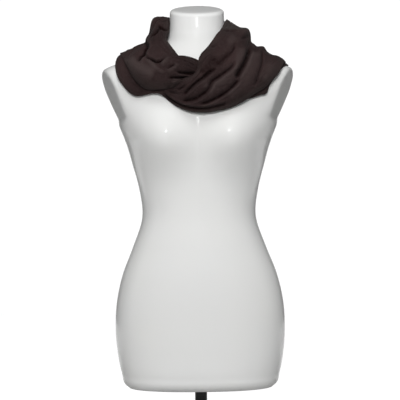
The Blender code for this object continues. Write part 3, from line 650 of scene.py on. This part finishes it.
def strand_grid(first, last, along_count, across_count):
    """Section numbers along a strand, closer together in front, and fractions across it."""
    dense = np.linspace(first, last, PACE_SAMPLES)
    inner, outer, _ = section_at(dense)
    middle = (inner + outer) / 2
    steps = np.linalg.norm(np.diff(middle, axis=0), axis=1)
    steps = np.where(middle[1:, 1] > BACK_Y, BACK_SHARE, 1.0) * steps
    length = np.concatenate([[0.0], np.cumsum(steps)])
    turns = np.interp(np.linspace(0.0, length[-1], along_count + 1), length, dense)
    even = np.linspace(0.0, 1.0, across_count + 1)
    crowded = even - EDGE_CROWDING * np.sin(2 * math.pi * even) / (2 * math.pi)
    return np.meshgrid(turns, crowded, indexing="ij")


def smooth_noise(rows, columns, cells_along, cells_across, random):
    """A smooth uneven grid of values about 0, made from a coarse random one."""
    coarse = random.standard_normal((cells_along + 4, cells_across + 4))
    along = np.linspace(1.0, cells_along + 1.0, rows)
    across = np.linspace(1.0, cells_across + 1.0, columns)
    for axis, places in ((0, along), (1, across)):
        index = np.floor(places).astype(int)
        part = np.expand_dims(places - index, 1 - axis)
        around = [np.take(coarse, index + step, axis=axis) for step in (-1, 0, 1, 2)]
        coarse = curve_between(*around, part)
    return coarse


def ripple_height(rows, columns, ripples):
    """Small creases along the lines where smooth noise passes through zero."""
    total = np.zeros((rows, columns))
    for ripple in ripples:
        random = np.random.default_rng(ripple.seed)
        line = smooth_noise(rows, columns, ripple.cells_along, ripple.cells_across, random)
        strength = smooth_noise(
            rows, columns, ripple.cells_along // 2, ripple.cells_across // 2, random,
        )
        crease = np.exp(-((line / ripple.sharpness) ** 2))
        total -= ripple.depth * crease * np.clip(RIPPLE_LEVEL + strength, 0.0, MOST_RIPPLE)
    return total


# A stretch of cloth: section number, fraction across, place and crease height at each grid point.
Strand = namedtuple("Strand", "turn across outside creased")


def cloth_points(turn, across, right_creases, left_creases, ripples):
    """The outer face of the cloth with all its folds, where it faces and how creases moved it."""
    points, normal, width, loft = flat_band(turn, across)
    arch = np.clip(1 - (2 * across - 1) ** 2, 0.0, 1.0)
    rolled = np.sqrt(np.clip(1 - np.abs(2 * across - 1) ** ROLL_POWER, 0.0, 1.0))
    flat_inside = (1 - ramp(turn, *SOFT_EDGE_TURNS)) * (1 - ramp(across, *SOFT_EDGE_ACROSS))
    fullness = np.clip(loft / FULL_ROLL_LOFT, 0.0, 1.0) * (1 - flat_inside)
    height = loft * (arch + (rolled - arch) * fullness)
    lofted = points + normal * height[..., None]
    folds = np.zeros_like(height)
    for row in LONG_FOLDS:
        folds += long_fold_height(turn, across, width, LongFold(*row))
    folds *= ramp(np.minimum(across, 1 - across) * width, 0.0, LONG_FADE)
    rolled_out = lofted + normal * folds[..., None]
    on_right = 1 - ramp(turn, RIGHT_ENDS, RIGHT_ENDS + SIDE_FADE)
    on_left = ramp(turn, LEFT_STARTS - SIDE_FADE, LEFT_STARTS)
    seen = seen_place(rolled_out)
    facing = np.clip((FRONT_END - rolled_out[..., 1]) / FRONT_FADE, 0.0, 1.0)
    creased = ripple_height(*turn.shape, ripples)
    for rows, shown in ((right_creases, on_right), (left_creases, on_left)):
        for row in rows:
            creased += crease_height(seen, facing * shown, Crease(*row))
    return rolled_out + normal * creased[..., None], normal, creased


def grid_normals(points):
    """The outward direction at each point of a grid, from its neighbours."""
    along = np.gradient(points, axis=0)
    across = np.gradient(points, axis=1)
    normal = np.cross(across, along)
    return normal / np.linalg.norm(normal, axis=-1, keepdims=True)


def shell(outside, inside):
    """Points and faces of a thin wall between two grids of points."""
    rows, columns = outside.shape[:2]
    count = rows * columns
    index = np.arange(count).reshape(rows, columns)
    quads = np.stack([index[:-1, :-1], index[1:, :-1], index[1:, 1:], index[:-1, 1:]], axis=-1)
    quads = quads.reshape(-1, 4)
    loop = np.concatenate([index[:, 0], index[-1, 1:], index[-2::-1, -1], index[0, -2:0:-1]])
    after = np.roll(loop, -1)
    rim = np.stack([loop, after, count + after, count + loop], axis=-1)
    faces = np.concatenate([quads, count + quads[:, ::-1], rim])
    both = np.concatenate([outside.reshape(-1, 3), inside.reshape(-1, 3)])
    return both, faces.tolist()


def add_piece(name, points, faces, material):
    """A smooth mesh from points measured as in the tables."""
    mesh = bpy.data.meshes.new(name)
    lifted = (np.asarray(points) + np.array([0.0, 0.0, TORSO_LIFT])) * MM
    mesh.from_pydata(lifted.tolist(), [], faces)
    builder = bmesh.new()
    builder.from_mesh(mesh)
    bmesh.ops.recalc_face_normals(builder, faces=builder.faces[:])
    builder.to_mesh(mesh)
    builder.free()
    mesh.shade_smooth()
    mesh.set_sharp_from_angle(angle=SHARP_ANGLE)
    mesh.materials.append(material)
    made = bpy.data.objects.new(name, mesh)
    bpy.context.scene.collection.objects.link(made)
    return made


def loft_faces(ring_count, sides, bottom, top):
    """Quads between rings, and a fan of triangles to the point at each end."""
    faces = []
    for ring in range(ring_count - 1):
        for side in range(sides):
            after = (side + 1) % sides
            low = ring * sides
            high = low + sides
            faces.append((low + side, low + after, high + after, high + side))
    last = (ring_count - 1) * sides
    for side in range(sides):
        after = (side + 1) % sides
        faces.append((bottom, after, side))
        faces.append((top, last + side, last + after))
    return faces


def torso_mesh():
    """Points and faces of the smooth torso with its neck cap."""
    angles = np.linspace(0.0, 2 * math.pi, TORSO_SIDES, endpoint=False)
    heights = []
    for low, high in zip(RING_HEIGHTS, RING_HEIGHTS[1:]):
        count = max(LEAST_RING_PARTS, round((high - low) / RING_STEP))
        heights += list(np.linspace(low, high, count, endpoint=False))
    heights.append(RING_HEIGHTS[-1])
    rings = [torso_surface(np.full(TORSO_SIDES, float(h)), angles) for h in heights]
    top = rings[-1]
    centre = np.array([0.0, NECK_CENTRE_Y, CAP_HEIGHT])
    radius = np.linalg.norm(top[:, :2] - centre[:2], axis=1)[:, None]
    for inset, rise in CAP_CURVE:
        ring = centre + (top - centre) * (1 - inset / radius)
        ring[:, 2] += rise
        rings.append(ring)
    ends = np.array([[0.0, 0.0, RING_HEIGHTS[0]], centre + np.array([0.0, 0.0, CAP_TOP])])
    points = np.concatenate(rings + [ends])
    count = len(rings) * TORSO_SIDES
    return points, loft_faces(len(rings), TORSO_SIDES, count, count + 1)


def turned_mesh(profile, sides):
    """A solid turned round the z axis from rows of radius and height."""
    angles = np.linspace(0.0, 2 * math.pi, sides, endpoint=False)
    rings = []
    for radius, height in profile:
        level = np.full(sides, height)
        rings.append(np.stack([radius * np.cos(angles), radius * np.sin(angles), level], axis=-1))
    ends = np.array([[0.0, 0.0, profile[0][1]], [0.0, 0.0, profile[-1][1]]])
    count = len(rings) * sides
    return np.concatenate(rings + [ends]), loft_faces(len(rings), sides, count, count + 1)


def rounded_profile(radius, low, high, round_radius, steps):
    """A cylinder's profile with both edges rounded."""
    bottom = []
    for angle in np.linspace(0.0, math.pi / 2, steps):
        inset = round_radius * (1 - math.sin(angle))
        rise = round_radius * (1 - math.cos(angle))
        bottom.append((radius - inset, low + rise))
    top = [(edge, low + high - height) for edge, height in reversed(bottom)]
    return bottom + top


def add_node(material, kind, **settings):
    """A new node in a material, with its settings by name."""
    made = material.node_tree.nodes.new(kind)
    for name, value in settings.items():
        setattr(made, name, value)
    return made


def fill(made, socket, value):
    """Links a node's socket to another socket, or sets its value."""
    if isinstance(value, bpy.types.NodeSocket):
        made.id_data.links.new(value, socket)
    else:
        socket.default_value = value


def set_inputs(made, **inputs):
    """Sets or links a node's inputs by name, with underscores for spaces."""
    for name, value in inputs.items():
        fill(made, made.inputs[name.replace("_", " ")], value)


def new_material(name, **shader_values):
    """A material with its shader and the shader's constant values."""
    material = bpy.data.materials.new(name)
    material.use_nodes = True
    shader = material.node_tree.nodes["Principled BSDF"]
    set_inputs(shader, **shader_values)
    return material, shader


def object_place(material):
    """Where each point of the surface lies, in metres."""
    return add_node(material, "ShaderNodeTexCoord").outputs["Object"]


def attribute_node(material, name, output):
    """A value that is stored with the mesh's points."""
    return add_node(material, "ShaderNodeAttribute", attribute_name=name).outputs[output]


def math_node(material, operation, first, second=0.0):
    """A Math node whose two inputs are sockets or numbers."""
    made = add_node(material, "ShaderNodeMath", operation=operation)
    fill(made, made.inputs[0], first)
    fill(made, made.inputs[1], second)
    return made.outputs[0]


def noise_node(material, vector, noise):
    """Noise from about 0 to 1."""
    made = add_node(material, "ShaderNodeTexNoise")
    set_inputs(made, Vector=vector, **noise._asdict())
    return made.outputs["Fac"]


def mix_colours(material, factor, first, second):
    """A blend of two colours, each a socket or four numbers."""
    made = add_node(material, "ShaderNodeMix", data_type="RGBA")
    set_inputs(made, Factor=factor)
    sockets = [socket for socket in made.inputs if socket.type == "RGBA"]
    for socket, value in zip(sockets, (first, second)):
        fill(made, socket, value)
    return next(socket for socket in made.outputs if socket.type == "RGBA")


def map_range(material, value, span, to_span=FULL_SPAN):
    """A value mapped from one span to another and held at its ends."""
    made = add_node(material, "ShaderNodeMapRange")
    set_inputs(made, Value=value, From_Min=span[0], From_Max=span[1])
    set_inputs(made, To_Min=to_span[0], To_Max=to_span[1])
    return made.outputs["Result"]


def bump_node(material, height, bump, **below):
    """A bump, on top of the one below it, if that is given as Normal."""
    distance, strength = bump
    made = add_node(material, "ShaderNodeBump")
    set_inputs(made, Height=height, Distance=distance, Strength=strength, **below)
    return made.outputs["Normal"]


def split_node(material, vector):
    """A vector's X, Y and Z."""
    made = add_node(material, "ShaderNodeSeparateXYZ")
    set_inputs(made, Vector=vector)
    return made.outputs


def knit_height(material):
    """The height of the jersey's stitches: rows of small V shapes in ribs along the cloth."""
    step = partial(math_node, material)
    place = split_node(material, attribute_node(material, "cloth_place", "Vector"))
    wale = step("MULTIPLY", place["Y"], 1 / WALE_WIDTH)
    in_wale = step("SUBTRACT", step("FRACT", wale), 0.5)
    course = step("MULTIPLY", place["X"], 1 / COURSE_HEIGHT)
    wave = step("MULTIPLY", step("ADD", course, step("ABSOLUTE", in_wale)), 2 * math.pi)
    stitch = step("MULTIPLY", step("SINE", wave), STITCH_SHARE)
    column = step("COSINE", step("MULTIPLY", in_wale, 2 * math.pi))
    return step("ADD", stitch, column)


def jersey_material():
    """Dark brown fine jersey: small stitches, uneven dye, pale flecks, a faint fuzz, painted shade,
    highlight and sheen.
    """
    material, shader = new_material(
        "jersey", Sheen_Weight=0.04, Sheen_Roughness=0.5, Sheen_Tint=JERSEY_SHEEN,
        Specular_IOR_Level=0.12,
    )
    where = object_place(material)
    painted_shade = attribute_node(material, "painted_hollow_shade", "Fac")
    dye = noise_node(material, where, DYE)
    fleck = noise_node(material, where, FLECKS)
    colour = JERSEY_DARK
    for share, other in (
        (map_range(material, dye, NOISE_SPAN), JERSEY_LIGHT),
        # painted highlight on ridges and painted shade in hollows
        (map_range(material, painted_shade, PAINTED_HIGHLIGHT_SPAN), JERSEY_PAINTED_HIGHLIGHT),
        (map_range(material, painted_shade, PAINTED_SHADE_SPAN), JERSEY_PAINTED_SHADE),
        # painted sheen grey on the edges and hem, and the reverse side's grey
        (attribute_node(material, "painted_sheen_and_reverse", "Fac"), JERSEY_SHEEN_AND_REVERSE),
        (map_range(material, fleck, FLECK_SPAN, FLECK_SHARE), JERSEY_FLECK),
    ):
        colour = mix_colours(material, share, colour, other)
    soft = bump_node(material, noise_node(material, where, FUZZ), FUZZ_BUMP)
    set_inputs(
        shader,
        Base_Color=colour,
        Roughness=map_range(material, fleck, NOISE_SPAN, JERSEY_ROUGHNESS),
        Normal=bump_node(material, knit_height(material), KNIT_BUMP, Normal=soft),
    )
    return material


def hard_material(name, clouds, colours, roughness, grain, bump, **shader_values):
    """A hard surface with uneven colour and roughness and a fine grain."""
    material, shader = new_material(name, **shader_values)
    where = object_place(material)
    uneven = noise_node(material, where, clouds)
    set_inputs(
        shader,
        Base_Color=mix_colours(material, uneven, *colours),
        Roughness=map_range(material, uneven, NOISE_SPAN, roughness),
        Normal=bump_node(material, noise_node(material, where, grain), bump),
    )
    return material


def set_attribute(piece, name, kind, values):
    """Stores a value for each point of a piece."""
    attribute = piece.data.attributes.new(name, kind, "POINT")
    field = "vector" if kind == "FLOAT_VECTOR" else "value"
    attribute.data.foreach_set(field, np.asarray(values, dtype=np.float32).ravel())


def painted_hollow_shade(points, creased):
    """Painted shade and highlight by how deep each point lies in a hollow, from 0 on a ridge to 1
    in a trough.
    """
    even = points
    for _ in range(HOLLOW_ROUNDS):
        columns = [blurred(even[..., k], HOLLOW_ALONG, HOLLOW_ACROSS) for k in range(3)]
        even = np.stack(columns, axis=-1)
    rise = ((points - even) * grid_normals(even)).sum(axis=-1)
    return np.clip(PAINTED_SHADE_EVEN - rise / HOLLOW_RISE - creased / HOLLOW_CREASE, 0.0, 1.0)


def sheen_and_reverse_grey(turn, across, points):
    """How grey each point is: painted sheen on the edges, most on the hem's underside, and a grey
    reverse side above the right collar's fold.
    """
    edge = 1 - ramp(np.minimum(across, 1 - across), *EDGE_ACROSS)
    hem = ramp(across, *HEM_ACROSS) * ramp(turn, *HEM_STARTS) * (1 - ramp(turn, *HEM_ENDS))
    seen = seen_place(points)
    in_front = points[..., 1] < REVERSE_Y
    reverse = ramp(seen[..., 1], *REVERSE_HEIGHTS) * (seen[..., 0] > 0) * in_front
    return np.maximum(np.maximum(EDGE_SHEEN * edge, HEM_SHEEN * hem), REVERSE_TONE * reverse)


def dress_cloth(piece, points, painted_sheen_and_reverse, painted_shade):
    """Stores where each point lies on the cloth, its painted sheen and reverse grey, and its
    painted shade by hollow depth.
    """
    along = np.linalg.norm(np.diff(points, axis=0), axis=-1).mean(axis=1)
    along = np.concatenate([[0.0], np.cumsum(along)])
    sideways = np.linalg.norm(np.diff(points, axis=1), axis=-1)
    sideways = np.concatenate([np.zeros((len(points), 1)), np.cumsum(sideways, axis=1)], axis=1)
    place = np.zeros(points.shape)
    place[..., 0] = along[:, None] * MM
    place[..., 1] = sideways * MM
    for name, kind, values in (
        ("cloth_place", "FLOAT_VECTOR", place),
        ("painted_sheen_and_reverse", "FLOAT", painted_sheen_and_reverse),
        ("painted_hollow_shade", "FLOAT", painted_shade),
    ):
        set_attribute(piece, name, kind, np.concatenate([values, values]))


def search_tree(points, faces):
    """A tree that finds the nearest place on a mesh, or the first one that a ray hits."""
    return BVHTree.FromPolygons([Vector(point) for point in points], faces)


def wall_tree(outside):
    """A search tree of the cloth's wall behind its outer face."""
    return search_tree(*shell(outside, outside - grid_normals(outside) * WALL))


def under_strand(form_tree):
    """The lower strand, laid on the form."""
    turn, across = strand_grid(STRAND_SPLIT, TURNS, UNDER_ALONG, UNDER_ACROSS)
    points, normals, creased = cloth_points(turn, across, (), (), UNDER_RIPPLES)
    points = off_the_form(points, normals, form_tree, WALL + CLEAR)
    return Strand(turn, across, points, creased)


def top_strand(form_tree, under):
    """The upper strand, laid on the form, on the lower strand and on its own first rows."""
    front_turn, front_across = strand_grid(0.0, RIGHT_ENDS, FRONT_ALONG, TOP_ACROSS)
    collar_turn, collar_across = strand_grid(RIGHT_ENDS, STRAND_SPLIT, COLLAR_ALONG, TOP_ACROSS)
    turn = np.concatenate([front_turn, collar_turn[1:]])
    across = np.concatenate([front_across, collar_across[1:]])
    points, normals, creased = cloth_points(turn, across, RIGHT_CREASES, LEFT_CREASES, TOP_RIPPLES)
    needed = WALL + CLEAR
    points = off_the_form(points, normals, form_tree, needed)
    over_under = (turn > PINCH) & (turn < DIVE_END)
    points = off_the_cloth(
        points, normals, wall_tree(under.outside), needed, over_under.astype(float),
    )

    widths = np.linalg.norm(np.diff(points, axis=1), axis=-1).sum(axis=1)[:, None]
    from_edge = np.minimum(across, 1 - across) * widths
    nearer = EDGE_CLEAR + (needed - EDGE_CLEAR) * ramp(from_edge, 0.0, EDGE_REACH)
    start = turn <= PINCH + PINCH_MARGIN
    left = turn >= LEFT_STARTS
    right = (turn < RIGHT_ENDS) & ~start
    for below, above in ((start, left & (points[..., 0] < PINCH_X)), (left, right)):
        tree = wall_tree(points[below[:, 0]])
        points = off_the_cloth(points, normals, tree, nearer, above.astype(float))
    return Strand(turn, across, points, creased)


def add_cloth(name, strand, rows, jersey):
    """A thin shell from some rows of a strand."""
    outside = strand.outside
    inside = outside - grid_normals(outside) * WALL
    piece = add_piece(name, *shell(outside[rows], inside[rows]), jersey)
    # Painted sheen grey on the edges and hem, and the reverse side's grey.
    painted_sheen_and_reverse = sheen_and_reverse_grey(strand.turn, strand.across, outside)[rows]
    # Painted shade in the hollows and painted highlight on the ridges.
    painted_shade = painted_hollow_shade(outside, strand.creased)[rows]
    dress_cloth(piece, outside[rows], painted_sheen_and_reverse, painted_shade)
    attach(piece, "root")
    return piece


def build_cloth(form_tree, jersey):
    """The shells of cloth: the front turn, the collar turn and the lower strand."""
    under = under_strand(form_tree)
    top = top_strand(form_tree, under)
    return (
        add_cloth("scarf_front_turn", top, slice(0, FRONT_ALONG + 1), jersey),
        add_cloth("scarf_collar_turn", top, slice(FRONT_ALONG, None), jersey),
        add_cloth("scarf_under_turn", under, slice(None), jersey),
    )


def main():
    """The form, its stand and the cloth."""
    jersey = jersey_material()
    plastic = hard_material(
        "white_plastic", PLASTIC_CLOUDS, (PLASTIC_COOL, PLASTIC_WARM), PLASTIC_ROUGHNESS,
        PLASTIC_GRAIN, PLASTIC_BUMP, Coat_Weight=0.8, Coat_Roughness=0.12, IOR=1.42,
    )
    paint = hard_material(
        "black_paint", PAINT_PATCHES, (PAINT_DARK, PAINT_LIGHT), PAINT_ROUGHNESS,
        PAINT_GRAIN, PAINT_BUMP, Specular_IOR_Level=0.4,
    )

    torso = torso_mesh()
    form = add_piece("form_shell", *torso, plastic)
    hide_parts("form_torso")
    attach(form, "root")

    floor = -TORSO_LIFT
    base_top = floor + BASE_THICKNESS
    base_profile = rounded_profile(BASE_RADIUS, floor, base_top, BASE_EDGE, BASE_EDGE_STEPS)
    pole_profile = (
        (POLE_RADIUS, base_top + SEAT_GAP),
        (POLE_RADIUS, RING_HEIGHTS[0] - SEAT_GAP),
    )
    for name, node, profile, sides in (
        ("stand_plate", "stand_base", base_profile, BASE_SIDES),
        ("stand_tube", "stand_pole", pole_profile, POLE_SIDES),
    ):
        piece = add_piece(name, *turned_mesh(profile, sides), paint)
        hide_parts(node)
        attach(piece, "root")

    front, collar, under = build_cloth(search_tree(*torso), jersey)
    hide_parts("scarf_right_front")
    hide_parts("scarf_collar_back", "scarf_left_front")
    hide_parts("scarf_under_right", "scarf_under_back", "scarf_under_left")


def add_floor():
    """A plain pale floor that glows behind the form."""
    angles = np.linspace(0.0, 2 * math.pi, FLOOR_SIDES, endpoint=False)
    ring = [(FLOOR_RADIUS * math.cos(a), FLOOR_RADIUS * math.sin(a), FLOOR_DROP) for a in angles]
    mesh = bpy.data.meshes.new("floor")
    mesh.from_pydata(ring, [], [tuple(range(len(ring)))])
    material, shader = new_material("pale_floor", Roughness=0.8, Emission_Color=WHITE)
    where = object_place(material)
    behind = split_node(material, where)["Y"]
    uneven = noise_node(material, where, FLOOR_CLOUDS)
    set_inputs(
        shader,
        Base_Color=mix_colours(material, uneven, FLOOR_COOL, FLOOR_WARM),
        Emission_Strength=map_range(material, behind, FLOOR_GLOW_FROM, FLOOR_GLOW),
    )
    mesh.materials.append(material)
    floor = bpy.data.objects.new("floor", mesh)
    bpy.context.scene.collection.objects.link(floor)


def add_lights():
    """Soft studio lights, each aimed at a height on the form's axis."""
    for name, place, target_height, width, height, power in LIGHTS:
        data = bpy.data.lights.new(name, "AREA")
        data.shape = "RECTANGLE"
        data.size = width
        data.size_y = height
        data.energy = power
        lamp = bpy.data.objects.new(name, data)
        lamp.location = place
        aim = Vector((0.0, 0.0, target_height)) - Vector(place)
        lamp.rotation_euler = aim.to_track_quat("-Z", "Y").to_euler()
        lamp.visible_glossy = name in MIRRORED_LIGHTS
        bpy.context.scene.collection.objects.link(lamp)


def add_world():
    """A dim white world that is bright behind the form."""
    world = bpy.data.worlds.new("pale_world")
    world.use_nodes = True
    where = add_node(world, "ShaderNodeTexCoord").outputs["Generated"]
    glow = map_range(world, split_node(world, where)["Y"], WORLD_GLOW_FROM, WORLD_GLOW)
    set_inputs(world.node_tree.nodes["Background"], Color=WHITE, Strength=glow)
    bpy.context.scene.world = world


def add_camera():
    """The camera, in front of the form."""
    data = bpy.data.cameras.new("camera")
    data.sensor_width = SENSOR_WIDTH
    data.lens = CAMERA_LENS
    camera = bpy.data.objects.new("camera", data)
    camera.location = CAMERA_PLACE
    camera.rotation_euler = (math.pi / 2, CAMERA_ROLL, 0.0)
    bpy.context.scene.collection.objects.link(camera)
    bpy.context.scene.camera = camera
    bpy.context.scene.view_settings.view_transform = "Standard"


main()
add_floor()
add_lights()
add_world()
add_camera()
bpy.context.view_layer.update()
